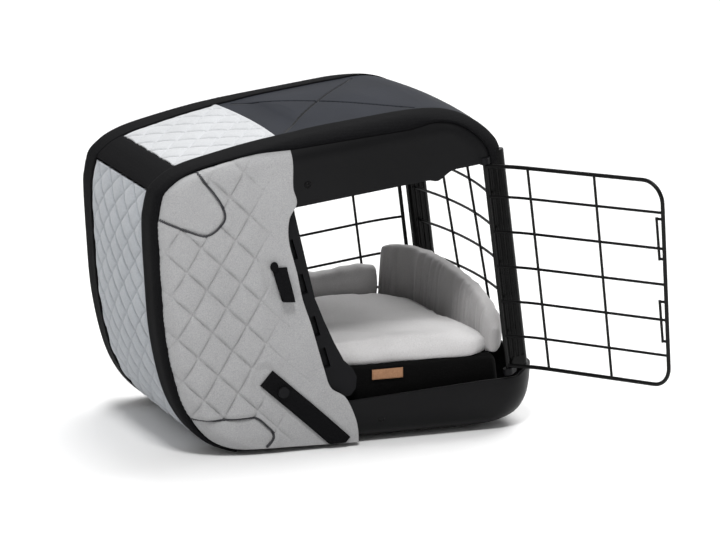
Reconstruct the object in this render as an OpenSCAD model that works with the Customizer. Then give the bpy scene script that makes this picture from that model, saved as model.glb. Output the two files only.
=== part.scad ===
/* [Body] */
// Forward pitch of the cabin, roof and doors above the flat base, in degrees
lean = 7.2; // [5:0.1:9]
// Half width of the cabin's outer skin
half_w = 168; // [160:1:176]
// Half width of the base tray
tray_half_w = 163; // [155:0.5:164]
// Thickness of the moulded and padded outer skin
skin_t = 4; // [3:0.5:5]

/* [Doors] */
// Height between two door rows
row_pitch = 45; // [40:1:48]
// Radius of a thick frame wire
frame_r = 2.5; // [2:0.1:3]
// Radius of a thin row wire
row_r = 1.7; // [1.2:0.1:2]
// Length of a door from its hinge to the middle of its free edge
door_len = 266; // [250:1:268]
// How far the right door stands open at rest, in degrees
right_open = 117; // [90:1:135]
// Lean of the free edge, in degrees
edge_lean = 4.5; // [3:0.1:6]

/* [Bed] */
// Height of the bed's low side wall above the floor
bed_wall_z = 96; // [88:1:100]
// Height of the tall front bolster above the floor
bolster_z = 178; // [165:1:184]

/* [Hidden] */
big = 1200;
gap = 0.3;
frame_x = 20;
frame_z = 20;

// Hinge axis, post centre and door plane, in the pitched cabin frame
hinge = [200, 163];
post = [218, 148];
post_r = 8;
post_flat = 12;
door_plane = half_w + 3.5;
hinge_bend = door_plane - hinge[1];
bend_len = 55;
bend_turn = 2 * atan(hinge_bend / bend_len);
bend_rad = bend_len / sin(bend_turn);
row_mid = 168;
door_top = 297;
door_bottom = 39;
corner_r = 26;
pin_clear = 0.05;
skirt_z = 295;
lug_h = 8;
lug_top_z = door_top + frame_r + 0.5;
lug_low_z = door_bottom - frame_r - 0.5 - lug_h;

module cabin() translate([frame_x, 0, frame_z]) rotate([0, -lean, 0]) children();

// Plan of a front post: a flat bar with round edges, grown by g
module post_plan(s, g) hull() for (k = [-0.5, 0.5])
    translate([post[0] + k * post_flat, s * post[1]]) circle(r = post_r + g, $fn = 48);

// Rings of the outer skin in the cabin frame: height, rear x, front x, half width
SKIN = [
    [-60, -100, 200, 1], [-20, -120, 222, 1], [-4, -141, 222, 1], [11, -176, 222, 1], [28, -199, 222, 1],
    [58, -218, 222, 1], [100, -230, 222, 1], [165, -235, 222, 1], [240, -231, 223, 1],
    [300, -226, 226, 1], [318, -222, 224, 1], [330, -218, 217, 1], [340, -213, 208.5, 1], [349, -201, 198.5, 1],
    [355.5, -188, 190, 0.995], [361.5, -166, 181, 0.98], [366.7, -126, 171, 0.957], [370.7, -88, 160, 0.926],
    [373.1, -50, 147, 0.89], [374, -25, 138, 0.85], [375.5, -12, 122, 0.7], [377.5, -4, 104, 0.5],
    [379, 4, 92, 0.34], [379.8, 10, 80, 0.2]];
CORNER_STEPS = 8;

// One ring of a rounded outline with a bowed front edge
function ring(x0, x1, w, rr, rf, bow, z, slope) =
    let (corners = [[x1 - rf, w - rf, rf, 0], [x0 + rr, w - rr, rr, 90],
        [x0 + rr, -w + rr, rr, 180], [x1 - rf, -w + rf, rf, 270]])
    [for (c = corners) for (i = [0:CORNER_STEPS])
        let (a = c[3] + 90 * i / CORNER_STEPS, x = c[0] + c[2] * cos(a), y = c[1] + c[2] * sin(a),
            b = x > 0 ? bow * (1 - pow(y / w, 2)) * min(1, x / 100) : 0)
        [x + b, y, z + slope * x]];

// Straight stretches get middle points so that a bowed edge stays smooth
function denser(r, n) = [for (i = [0:len(r) - 1]) let (p = r[i], q = r[(i + 1) % len(r)])
    each norm(q - p) > 60 ? [for (k = [0:n - 1]) p + (q - p) * k / n] : [p]];

// Closed solid through a stack of equal rings, capped at both ends
module loft(rings) {
    n = len(rings[0]);
    m = len(rings);
    points = [for (r = rings) each r];
    sides = [for (j = [0:m - 2]) for (i = [0:n - 1])
        let (a = j * n + i, b = j * n + (i + 1) % n) each [[a, b + n, b], [a, a + n, b + n]]];
    caps = [[for (i = [0:n - 1]) i], [for (i = [0:n - 1]) (m - 1) * n + n - 1 - i]];
    polyhedron(points = points, faces = concat(sides, caps), convexity = 8);
}

function skin_ring(s, d) =
    let (w = half_w * s[3] - d, x0 = s[1] + d, x1 = s[2] - d,
        room = min(w, (x1 - x0) / 2) - 2,
        rr = max(6, min(30 - d * 0.6, room)), rf = max(6, min(42 - d, room)))
    ring(x0, x1, w, rr, rf, 14, s[0] - d * max(0, min(1, (s[0] - 300) / 60)), 0);

module skin_solid(d) loft([for (s = SKIN) skin_ring(s, d)]);

module skin_layer(d0, d1) {
    difference() {
        skin_solid(d0);
        skin_solid(d1);
    }
}

// Plan outline of the centre panel; grow widens it to the outer edge of a band
module centre_plan(grow) {
    right = [[-300, 108 + grow], [-180, 108 + grow], [-48, 116 + grow], [120, 122 + grow * 0.93],
        [170, 134 + grow * 0.6], [300, 150 + grow * 0.25]];
    polygon(concat([for (p = right) [p[0], -p[1]]], [for (i = [len(right) - 1:-1:0]) right[i]]));
}

module centre_prism(grow) translate([0, 0, -100]) linear_extrude(height = 600) centre_plan(grow);
band_w = 46;

// Side outline of the rear hood, seen from the side in the cabin frame
EDGE = [[-48, 420], [-48, 345], [-51, 320], [-49, 300], [-62, 282], [-65, 255], [-60, 215], [-57, 180],
    [-50, 145], [-41, 88], [-35, 62], [-18, 46], [-9, 20], [-7, 0], [-9, -60]];
module hood_side(back) {
    translate([0, 300, 0]) rotate([90, 0, 0]) linear_extrude(height = 600)
        polygon(concat([[-400, -60], [-400, 420]], [for (p = EDGE) [p[0] - back, p[1]]]));
}

module above_floor(z) translate([-big / 2, -big / 2, z]) cube([big, big, big]);

module hood_layer(d0, d1, back, z) {
    intersection() {
        above_floor(z);
        cabin() intersection() {
            skin_layer(d0, d1);
            hood_side(back);
        }
    }
}

module cover_side(s) color("lightgray") difference() {
    intersection() {
        hood_layer(0, skin_t, 0, 3);
        translate([-big / 2, s > 0 ? 0 : -big, -big / 2]) cube([big, big, big]);
    }
    cabin() centre_prism(band_w + gap);
}

module centre_part(z0, z1, x0, x1) {
    intersection() {
        hood_layer(0, skin_t, 0, 3);
        cabin() intersection() {
            centre_prism(-gap);
            translate([x0, -150, z0]) cube([x1 - x0, 300, z1 - z0]);
        }
    }
}

module cover_rear() color("gainsboro") centre_part(-50, 338, -300, -100);
module cross_band() color("black") centre_part(338 + gap, 400, -300, -180);
module cover_top() color("whitesmoke") centre_part(338 + gap, 400, -180 + gap, 0);

module band(s) color([0.07, 0.07, 0.08]) intersection() {
    above_floor(3);
    cabin() difference() {
        intersection() {
            skin_layer(0, skin_t - 1);
            centre_prism(band_w);
            translate([-400, s > 0 ? 0 : -400, -60]) cube([800, 400, 500]);
            union() {
                hood_side(0);
                translate([-60, -300, 330]) cube([300, 600, 100]);
            }
        }
        centre_prism(0);
    }
}

// Black roof moulding with the two side skirts, its front visor and seats for panel and bands
module roof_shell() color([0.13, 0.13, 0.14]) cabin() difference() {
    intersection() {
        skin_layer(0, 8);
        translate([-46, -300, skirt_z]) cube([400, 600, 200]);
    }
    intersection() {
        skin_solid(-2);
        difference() {
            centre_prism(band_w + gap);
            skin_solid(skin_t);
        }
        translate([-60, -300, 325]) cube([400, 600, 200]);
    }
    translate([155, -300, 250]) cube([120, 600, 302 - 250]);
    for (s = [-1, 1]) {
        translate([hinge[0], s * hinge[1], 200]) cylinder(r = 8, h = lug_top_z + lug_h + 0.5 - 200, $fn = 32);
        translate([0, 0, 200]) linear_extrude(height = 112.2) post_plan(s, 0.2);
        hull() {
            translate([hinge[0], s * hinge[1], 290]) cylinder(r = 6.5, h = lug_top_z + lug_h + 0.5 - 290, $fn = 48);
            translate([post[0] - 3, s * post[1], 290]) cylinder(r = 5.5, h = lug_top_z + lug_h + 0.5 - 290, $fn = 48);
        }
    }
    // The window in the front above the grille
    translate([180, -112, 250]) cube([100, 224, 58]);
}

module roof_panel() color([0.27, 0.29, 0.32]) cabin() difference() {
    intersection() {
        skin_layer(0.6, skin_t - 0.6);
        centre_prism(-gap);
        translate([-46, -300, 340]) cube([260, 600, 100]);
    }
    // Crossed grooves, sunk by the same depth all over the crown
    difference() {
        for (s = [-1, 1]) hull() for (p = [[-32, -s * 104], [134, s * 112]])
            translate([p[0], p[1], 350]) cylinder(r = 1.6, h = 50, $fn = 12);
        skin_solid(2);
    }
}

module hood_frame() color([0.2, 0.2, 0.21]) hood_layer(skin_t + gap, 8, 4, 72);

// Rings of the tray in the floor frame: height, rear x, front x, half width
TRAY = [[5, -118, 196, 128], [6.5, -132, 214, 144], [12, -150, 230, 154], [22, -168, 242, 160],
    [38, -182, 250, 163], [56, -192, 254, 163], [74, -196, 256, 161.5], [96, -198, 257, 161]];
function tray_ring(t, d) = ring(t[1] + d, t[2] - d, tray_half_w * t[3] / 163 - d, 54 - d, 44 - d, 10, t[0] + d * 0.6, 0);
module tray_solid(d) loft([for (t = TRAY) tray_ring(t, d)]);
rim_front = 69;
rim_rear = 60;

module rim_cut() {
    translate([0, 200, 0]) rotate([90, 0, 0]) linear_extrude(height = 400)
        polygon([[-300, rim_rear - 6], [0, rim_rear - 3], [180, rim_front - 1.5], [228, rim_front - 0.5],
            [250, rim_front + 9], [300, rim_front + 12], [300, 200], [-300, 200]]);
}

module post_bar(z0, z1, g) cabin() for (s = [-1, 1]) translate([0, 0, z0]) linear_extrude(height = z1 - z0) post_plan(s, g);

module tray() color([0.14, 0.14, 0.15]) difference() {
    union() {
        difference() {
            tray_solid(0);
            tray_solid(3.5);
        }
        intersection() {
            tray_solid(1);
            for (s = [-1, 1]) translate([214, s * 138 - 26, 46]) cube([60, 52, 8]);
        }
    }
    rim_cut();
    post_bar(26, 120, 0.2);
    cabin() for (s = [-1, 1])
        translate([hinge[0] - 9, s * hinge[1] - 12, lug_low_z - 0.4]) cube([30, 24, 30]);
    // Screw recesses low on each flank
    for (s = [-1, 1]) translate([46, s * 165, 30]) rotate([90, 0, 0]) cylinder(r = 3, h = 5, center = true, $fn = 24);
}

module skid(s) color([0.1, 0.1, 0.1]) translate([-118, s * 104 - 11, 0]) cube([264, 22, 4.9]);

module bumper_pads() color([0.08, 0.08, 0.08]) for (x = [-96, 126], s = [-1, 1])
    translate([x, s * 70, 0]) cylinder(r = 9, h = 4.9, $fn = 48);

// Fluted bar with rounded edges
module front_post(s) color([0.09, 0.09, 0.1]) cabin() difference() {
    translate([0, 0, 34]) linear_extrude(height = 278) post_plan(s, 0);
    for (k = [-1:1], side = [-1, 1])
        translate([post[0] + k * 6.5, s * post[1] + side * (post_r + 0.7), 46]) cylinder(r = 1.9, h = 246, $fn = 24);
    for (side = [-1, 1])
        translate([post[0] + side * (post_flat / 2 + post_r + 0.8), s * post[1], 46]) cylinder(r = 2.2, h = 246, $fn = 24);
}

// Slotted pillar behind each door opening; the door's C-loops snap into its four slots
PILLAR = [[-50, 292], [-50, 285], [-43, 218], [-38, 175], [-30, 145], [-21, 116], [-11, 90], [-1, 78], [3, 66],
    [0, 52], [-8, 44], [-46, 44], [-52, 62], [-64, 96], [-76, 145], [-84, 218], [-90, 292]];
SLOTS = [[-60, 241], [-53, 196], [-44, 140], [-36, 98]];
slot_lean = 9;
pillar_y = 152;
module rear_pillar(s) color([0.16, 0.16, 0.17]) cabin() difference() {
    translate([0, s * pillar_y + 6.5, 0]) rotate([90, 0, 0]) linear_extrude(height = 13) offset(r = 3) offset(r = -3)
        polygon(PILLAR);
    for (p = SLOTS) translate([p[0], s * (pillar_y + 3.5), p[1]]) rotate([0, -slot_lean, 0])
        cube([10, 8, 26], center = true);
}

module lug(s, z) color([0.1, 0.1, 0.1]) cabin() difference() {
    hull() {
        translate([hinge[0], s * hinge[1], z]) cylinder(r = 6, h = lug_h, $fn = 48);
        translate([post[0] - 3, s * post[1], z]) cylinder(r = 5, h = lug_h, $fn = 48);
    }
    translate([0, 0, z - 1]) linear_extrude(height = lug_h + 2) post_plan(s, 0.02);
    translate([hinge[0], s * hinge[1], z - 1]) cylinder(r = frame_r + pin_clear, h = lug_h + 2, $fn = 48);
}

// Straight wire between two points
module wire(p, q, r) {
    v = q - p;
    translate(p) rotate([0, acos(v[2] / norm(v)), atan2(v[1], v[0])]) cylinder(r = r, h = norm(v), $fn = 24);
}

// Bend of a wire in the plane of a door
module bend(c, radius, from, turn, r) translate([c[0], c[1], c[2]]) rotate([90, 0, 0]) rotate([0, 0, from])
    rotate_extrude(angle = turn, $fn = 48) translate([radius, 0]) circle(r = r, $fn = 24);

// A row's long bend out of the hinge bar to the door's plane
module row_bend(z, r) translate([-bend_len, bend_rad - hinge_bend, z]) rotate([0, 0, 270])
    rotate_extrude(angle = bend_turn, $fn = 180) translate([bend_rad, 0]) circle(r = r, $fn = 24);

function edge_x(z) = -door_len + 4 - (z - row_mid) * tan(edge_lean);

// One door in its closed position, hinge axis at the origin, for the carrier's right side
module door_panel() {
    y = -hinge_bend;
    top_c = [edge_x(door_top) + corner_r / cos(edge_lean) + corner_r * tan(edge_lean), y, door_top - corner_r];
    low_c = [edge_x(door_bottom) + corner_r / cos(edge_lean) - corner_r * tan(edge_lean), y, door_bottom + corner_r];
    edge_top = top_c + corner_r * [-cos(edge_lean), 0, -sin(edge_lean)];
    edge_low = low_c + corner_r * [-cos(edge_lean), 0, -sin(edge_lean)];
    wire([0, 0, lug_low_z + 0.5], [0, 0, lug_top_z + lug_h - 0.5], frame_r);
    for (z = [door_top, door_bottom]) row_bend(z, frame_r);
    wire([-bend_len, y, door_top], [top_c[0], y, door_top], frame_r);
    wire([-bend_len, y, door_bottom], [low_c[0], y, door_bottom], frame_r);
    bend(top_c, corner_r, 90, 90 + edge_lean, frame_r);
    bend(low_c, corner_r, 180 + edge_lean, 90 - edge_lean, frame_r);
    wire(edge_top, edge_low, frame_r);
    for (k = [-2:2]) {
        z = row_mid + k * row_pitch;
        row_bend(z, row_r);
        wire([-bend_len, y, z], [edge_x(z), y, z], row_r);
    }
    for (v = [[-63, 0.2], [-166, 1.3]]) {
        t = tan(v[1]);
        wire([v[0] - (door_top - row_mid) * t, y + row_r, door_top],
            [v[0] + (row_mid - door_bottom) * t, y + row_r, door_bottom], row_r);
    }
    for (z = [[250, 200], [146, 96]]) {
        x1 = edge_x(z[0]);
        x2 = edge_x(z[1]);
        wire([x1, y, z[0]], [x1 + 10, y, z[0]], row_r);
        wire([x2, y, z[1]], [x2 + 8, y, z[1]], row_r);
        wire([x1 + 10, y, z[0] + row_r], [x2 + 8, y, z[1] - row_r], row_r);
    }
}

module door_right() color([0.05, 0.05, 0.05]) cabin()
    translate([hinge[0], -hinge[1], 0]) rotate([0, 0, right_open]) door_panel();
module door_left() color([0.05, 0.05, 0.05]) cabin()
    translate([hinge[0], hinge[1], 0]) mirror([0, 1, 0]) door_panel();

// Fixed front grille: five rows bowed forward between the posts, with two uprights
grille_bow = 12;
grille_mid = 164;
grille_half = post[1] - post_r;
grille_rad = (grille_half * grille_half + grille_bow * grille_bow) / (2 * grille_bow);
grille_x = post[0] - 2;
module front_grille() color([0.05, 0.05, 0.05]) cabin() {
    half_angle = asin(grille_half / grille_rad);
    for (k = [-2:2]) translate([grille_x + grille_bow - grille_rad - k * 2.2, 0, grille_mid + k * row_pitch])
        rotate([0, 0, -half_angle]) rotate_extrude(angle = 2 * half_angle, $fn = 180)
            translate([grille_rad, 0]) circle(r = row_r, $fn = 24);
    for (s = [-1, 1]) {
        x = grille_x + grille_bow - 48 * 48 / (2 * grille_rad) - row_r;
        wire([x - 2.2 * 2.9, s * 48, grille_mid + 2.9 * row_pitch], [x + 2.2 * 2.6, s * 48, grille_mid - 2.6 * row_pitch], row_r);
    }
}

module block(lo, hi, r) hull() for (x = [lo[0] + r, hi[0] - r], y = [lo[1] + r, hi[1] - r])
    translate([x, y, lo[2]]) cylinder(r = r, h = hi[2] - lo[2], $fn = 32);

bed_x0 = -140;
bed_x1 = 213;
bed_half = 143;
bed_z0 = 13;
module bed_base() color([0.08, 0.08, 0.08]) hull() for (s = [-1, 1], p = [[bed_x0 + 42, bed_half - 42, 42],
    [bed_x1 - 18, bed_half - 18, 18]])
    translate([p[0], s * p[1], bed_z0]) cylinder(r = p[2], h = bed_wall_z - 6 - bed_z0, $fn = 48);
module bed_cushion() color("silver") difference() {
    block([bed_x0 + 4, -bed_half + 3, bed_wall_z - 6 + gap], [206, 116, bed_wall_z + 26], 42);
    translate([0, 0, 20]) bolster_wall(bolster_r + gap, 200);
    translate([170, 60, 0]) cube([60, 80, 200]);
    translate([206, -60, 0]) cube([60, 80, 200]);
}
module bolster_side() color("silver") block([bed_x0 + 6, 118, bed_wall_z - 6 + gap], [138, 143, bed_wall_z + 66], 10);

// Tall front bolster: a curved wall whose crest falls towards the right post
bolster_path = [[152, 130], [178, 96], [192, 50], [198, 0], [206, -50], [209, -100], [206, -127]];
bolster_r = 11;
module bolster_wall(r, h) linear_extrude(height = h) for (i = [0:len(bolster_path) - 2])
    hull() for (p = [bolster_path[i], bolster_path[i + 1]]) translate(p) circle(r = r, $fn = 48);
module bolster_front() color("darkgray") intersection() {
    translate([0, 0, bed_wall_z - 6 + gap]) bolster_wall(bolster_r, 110);
    rotate([90, 0, 90]) linear_extrude(height = 300)
        polygon([[145, 60], [145, 170], [128, bolster_z + 3], [95, bolster_z + 4], [40, bolster_z + 1], [-20, bolster_z - 6],
            [-60, bolster_z - 15], [-90, 152], [-114, 139], [-130, 118], [-145, 98], [-145, 60]]);
}
module bed_label() color([0.62, 0.4, 0.26]) translate([40, -bed_half - 1.6, 76]) cube([41, 1.3, 13]);

module pull_tab(s) color("black") translate([-90, s * (half_w + gap), 213]) rotate([0, -6, 0])
    translate([-14, s > 0 ? 0 : -4.5, -25]) cube([28, 4.5, 50]);
module belt_strap(s) color("black") translate([-96, s * (half_w + gap), 88]) rotate([0, 44, 0])
    translate([-14, s > 0 ? 0 : -3.5, -12.5]) cube([118, 3.5, 25]);
module strap_button(s) color([0.1, 0.1, 0.1]) translate([-86, s * (half_w + gap + 3.5), 78]) rotate([-90 * s, 0, 0])
    cylinder(r = 7, h = 3, $fn = 48);

tray();
skid(-1);  // skid_right
skid(0);  // skid_centre
skid(1);  // skid_left
roof_shell();
roof_panel();
hood_frame();
cover_side(-1);  // cover_side_right
cover_side(1);  // cover_side_left
cover_rear();
cover_top();
cross_band();
band(-1);  // band_right
band(1);  // band_left
front_post(-1);  // front_post_right
front_post(1);  // front_post_left
rear_pillar(-1);  // rear_pillar_right
rear_pillar(1);  // rear_pillar_left
front_grille();
lug(-1, lug_top_z);  // hinge_lug_upper_right
lug(-1, lug_low_z);  // hinge_lug_lower_right
lug(1, lug_top_z);  // hinge_lug_upper_left
lug(1, lug_low_z);  // hinge_lug_lower_left
door_right();
door_left();
bed_base();
bed_cushion();
bolster_front();
bolster_side();
bed_label();
pull_tab(-1);  // pull_tab_right
pull_tab(1);  // pull_tab_left
belt_strap(-1);  // belt_strap_right
belt_strap(1);  // belt_strap_left
strap_button(-1);  // strap_button_right
strap_button(1);  // strap_button_left
bumper_pads();
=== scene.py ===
"""Looks of the pet travel crate: quilted hood, moulded shells, padded bed, wire doors."""
import math
import bpy
import bmesh
import numpy as np
from mathutils import Matrix, Vector


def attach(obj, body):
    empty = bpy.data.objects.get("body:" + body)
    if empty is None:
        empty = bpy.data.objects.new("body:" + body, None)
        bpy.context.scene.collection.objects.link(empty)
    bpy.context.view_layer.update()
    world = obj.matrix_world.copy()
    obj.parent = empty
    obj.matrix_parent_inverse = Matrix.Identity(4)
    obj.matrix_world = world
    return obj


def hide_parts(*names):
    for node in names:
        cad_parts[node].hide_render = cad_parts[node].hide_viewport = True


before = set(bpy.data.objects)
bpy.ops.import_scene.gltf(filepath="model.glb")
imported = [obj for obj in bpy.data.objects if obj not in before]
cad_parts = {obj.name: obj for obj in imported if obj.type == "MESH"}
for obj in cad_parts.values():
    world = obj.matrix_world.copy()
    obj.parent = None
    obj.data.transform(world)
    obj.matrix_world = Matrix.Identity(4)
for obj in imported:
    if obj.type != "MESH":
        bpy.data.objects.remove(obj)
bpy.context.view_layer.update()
MM = 0.001

# ---------------------------------------------------------------- cabin frame
LEAN = math.radians(7.2)
FRAME_AT = np.array([20.0, 0.0, 20.0])
TURN = np.array([[math.cos(LEAN), 0, -math.sin(LEAN)], [0, 1, 0], [math.sin(LEAN), 0, math.cos(LEAN)]])


def to_world(points):
    """Cabin-frame millimetres to row-frame millimetres."""
    return np.asarray(points, float) @ TURN.T + FRAME_AT


def to_cabin(points):
    """Row-frame millimetres to cabin-frame millimetres."""
    return (np.asarray(points, float) - FRAME_AT) @ TURN


# ---------------------------------------------------------------- outer skin
HALF_W = 168.0
# Height, rear x, front x and half width (as a share of HALF_W) of the skin's rounded outline
SKIN = np.array([
    [-60, -100, 200, 1], [-20, -120, 222, 1], [-4, -141, 222, 1], [11, -176, 222, 1], [28, -199, 222, 1],
    [58, -218, 222, 1], [100, -230, 222, 1], [165, -235, 222, 1], [240, -231, 223, 1],
    [300, -226, 226, 1], [318, -222, 224, 1], [330, -218, 217, 1], [340, -213, 208.5, 1],
    [349, -201, 198.5, 1], [355.5, -188, 190, 0.995], [361.5, -166, 181, 0.98], [366.7, -126, 171, 0.957],
    [370.7, -88, 160, 0.926], [373.1, -50, 147, 0.89], [374, -25, 138, 0.85], [375.5, -12, 122, 0.7],
    [377.5, -4, 104, 0.5], [379, 4, 92, 0.34], [379.8, 10, 80, 0.2], [380.2, 30, 60, 0.02]])


def smooth_table(table, per=24):
    """Catmull-Rom through the rows of a table."""
    t = np.arange(len(table), dtype=float)
    fine = np.linspace(0, len(table) - 1, (len(table) - 1) * per + 1)
    k = np.minimum(fine.astype(int), len(table) - 2)
    f = (fine - k)[:, None]
    p1, p2 = table[k], table[k + 1]
    p0, p3 = table[np.maximum(k - 1, 0)], table[np.minimum(k + 2, len(table) - 1)]
    return 0.5 * (2 * p1 + (p2 - p0) * f + (2 * p0 - 5 * p1 + 4 * p2 - p3) * f**2
                  + (3 * p1 - 3 * p2 + p3 - p0) * f**3)


FINE = smooth_table(SKIN)
# Forward bow of the front and rearward bulge of the back, at the middle of the width
BOW = 14.0
BULGE = 5.0
# Corner radii in plan, and the width of the bands on the hood
REAR_R, FRONT_R = 30.0, 42.0
BAND_W = 46.0
# A point well inside the body, and the cabin x and z that the hood's rays fan out from
BODY_MIDDLE = np.array([-20.0, 0, 190.0])
FAN_X, FAN_Z = -40.0, 185.0


def extents(z):
    """Rear x, front x, half width of the skin at height z."""
    z = np.asarray(z, float)
    return tuple(np.interp(z, FINE[:, 0], FINE[:, c]) * (HALF_W if c == 3 else 1) for c in (1, 2, 3))


def inside(x, y, z):
    """True inside the skin."""
    x0, x1, w = extents(np.minimum(z, FINE[-1, 0]))
    heights = np.clip((z - 20) / 60, 0, 1) * np.clip((335 - z) / 60, 0, 1)
    x0 = x0 - BULGE * np.clip(1 - (y / 120) ** 2, 0, 1) * heights
    bow = BOW * (1 - np.clip(y / np.maximum(w, 1), -1, 1) ** 2) * np.clip(x / 100, 0, 1)
    xe = x - bow
    room = np.minimum(w, (x1 - x0) / 2) - 1
    rr = np.clip(np.minimum(REAR_R, room), 0.5, None)
    rf = np.clip(np.minimum(FRONT_R, room), 0.5, None)
    ay = np.abs(y)
    ok = (xe >= x0) & (xe <= x1) & (ay <= w) & (z <= FINE[-1, 0])
    dx, dy = (x0 + rr) - xe, ay - (w - rr)
    rear = (dx > 0) & (dy > 0) & (dx * dx + dy * dy > rr * rr)
    dx, dy = xe - (x1 - rf), ay - (w - rf)
    front = (dx > 0) & (dy > 0) & (dx * dx + dy * dy > rf * rf)
    return ok & ~rear & ~front


def hit(origin, direction, reach=420.0):
    """Where rays from inside the skin leave it; origin and direction are (..., 3) arrays."""
    lo = np.zeros(origin.shape[:-1])
    hi = np.full(origin.shape[:-1], reach)
    for _ in range(26):
        mid = (lo + hi) / 2
        p = origin + direction * mid[..., None]
        ok = inside(p[..., 0], p[..., 1], p[..., 2])
        lo, hi = np.where(ok, mid, lo), np.where(ok, hi, mid)
    return origin + direction * lo[..., None]


def side_point(x, z, s):
    """Point of the skin on side s (+1 left, -1 right) at cabin x and height z."""
    o = np.stack([x, np.zeros_like(x), z], -1)
    d = np.zeros_like(o)
    d[..., 1] = s
    return hit(o, d)


def band_inner(x):
    """Half width of the centre panel between the bands."""
    return np.interp(x, [-300, -180, -48, 120, 170, 300], [108, 108, 116, 122, 134, 150])


def band_outer(x):
    """Half width at the bands' outer edges."""
    return band_inner(x) + BAND_W * np.interp(x, [-48, 120, 170, 300], [1.0, 0.93, 0.6, 0.25])


# ---------------------------------------------------------------- mesh making


def grid_normals(p):
    """Unit normals of a grid of points."""
    du = np.gradient(p, axis=0)
    dv = np.gradient(p, axis=1)
    n = np.cross(du, dv)
    return n / np.maximum(np.linalg.norm(n, axis=-1, keepdims=True), 1e-9)


def smooth_grid(n, rounds=2):
    """Averages a grid of vectors with its neighbours."""
    for _ in range(rounds):
        p = np.pad(n, ((1, 1), (1, 1), (0, 0)), mode="edge")
        n = (p[1:-1, 1:-1] * 2 + p[:-2, 1:-1] + p[2:, 1:-1] + p[1:-1, :-2] + p[1:-1, 2:]) / 6
    return n


def mesh_object(name, verts_mm, faces, mat, body="cabin", world=True):
    """A mesh object from millimetre points, smooth shaded, riding on a body."""
    pts = np.asarray(verts_mm, float)
    if not world:
        pts = to_world(pts)
    me = bpy.data.meshes.new(name)
    me.from_pydata((pts * MM).tolist(), [], [tuple(int(i) for i in f) for f in faces])
    me.validate()
    me.polygons.foreach_set("use_smooth", [True] * len(me.polygons))
    me.update()
    ob = bpy.data.objects.new(name, me)
    bpy.context.scene.collection.objects.link(ob)
    if mat is not None:
        me.materials.append(mat)
    if body:
        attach(ob, body)
    return ob


def slab(name, outer, thick, mat, world=False):
    """Closed skin: outer grid, inner grid thick millimetres under it, and a rim between them."""
    n = smooth_grid(grid_normals(outer))
    n /= np.maximum(np.linalg.norm(n, axis=-1, keepdims=True), 1e-9)
    if ((outer - BODY_MIDDLE) * n).sum(-1).mean() < 0:
        n = -n
    inner = outer - n * thick
    rows, cols = outer.shape[:2]
    verts = np.concatenate([outer.reshape(-1, 3), inner.reshape(-1, 3)])
    k = rows * cols
    idx = np.arange(k).reshape(rows, cols)
    faces = []
    for i in range(rows - 1):
        for j in range(cols - 1):
            a, b, c, d = idx[i, j], idx[i + 1, j], idx[i + 1, j + 1], idx[i, j + 1]
            faces.append((a, b, c, d))
            faces.append((d + k, c + k, b + k, a + k))
    ring = list(idx[0, :]) + list(idx[1:, -1]) + list(idx[-1, -2::-1]) + list(idx[-2:0:-1, 0])
    for a, b in zip(ring, ring[1:] + ring[:1]):
        faces.append((a, b, b + k, a + k))
    return mesh_object(name, verts, faces, mat, "cabin", world)


def ring_faces(rings, count):
    """Quads between successive closed rings of count points each."""
    sides = [(j, (j + 1) % count) for j in range(count)]
    return [(i + j, i + k, i + count + k, i + count + j)
            for i in range(0, (rings - 1) * count, count) for j, k in sides]


def weld_normals(ob):
    """Welds doubled points and makes all faces point outwards."""
    bm = bmesh.new()
    bm.from_mesh(ob.data)
    bmesh.ops.remove_doubles(bm, verts=bm.verts, dist=1e-6)
    bmesh.ops.recalc_face_normals(bm, faces=bm.faces)
    bm.to_mesh(ob.data)
    bm.free()
    return ob


def spread(points, count, endpoint=True):
    """Points evenly spaced along a polyline."""
    step = np.linalg.norm(np.diff(points, axis=0), axis=1)
    along = np.concatenate([[0], np.cumsum(step)])
    want = np.linspace(0, along[-1], count, endpoint=endpoint)
    return np.stack([np.interp(want, along, points[:, c]) for c in range(points.shape[1])], -1)


def curve_through(points, count):
    """Points evenly spaced along a Catmull-Rom curve through the given ones."""
    return spread(smooth_table(np.asarray(points, float), 16), count)


def add_bevel(ob, width, segments=2, angle=35):
    """Rounds the edges sharper than angle degrees, width in millimetres."""
    m = ob.modifiers.new("edges", "BEVEL")
    m.width, m.segments, m.limit_method = width * MM, segments, "ANGLE"
    m.angle_limit = math.radians(angle)


# ---------------------------------------------------------------- materials


def new_material(name):
    """An empty material with one Principled shader."""
    mat = bpy.data.materials.new(name)
    mat.use_nodes = True
    nt = mat.node_tree
    nt.nodes.clear()
    out = nt.nodes.new("ShaderNodeOutputMaterial")
    bsdf = nt.nodes.new("ShaderNodeBsdfPrincipled")
    nt.links.new(bsdf.outputs[0], out.inputs[0])
    return mat, nt, bsdf


def object_coords(nt):
    return nt.nodes.new("ShaderNodeTexCoord").outputs["Object"]


def noise(nt, coords, scale, detail=3.0, rough=0.5):
    n = nt.nodes.new("ShaderNodeTexNoise")
    n.inputs["Scale"].default_value = scale
    n.inputs["Detail"].default_value = detail
    n.inputs["Roughness"].default_value = rough
    nt.links.new(coords, n.inputs["Vector"])
    return n.outputs["Fac"]


def ramp(nt, fac, stops):
    r = nt.nodes.new("ShaderNodeValToRGB")
    while len(r.color_ramp.elements) < len(stops):
        r.color_ramp.elements.new(0.5)
    for e, (pos, col) in zip(r.color_ramp.elements, stops):
        e.position = pos
        e.color = (*col, 1) if len(col) == 3 else (col[0],) * 3 + (1,)
    nt.links.new(fac, r.inputs["Fac"])
    return r.outputs["Color"]


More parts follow.
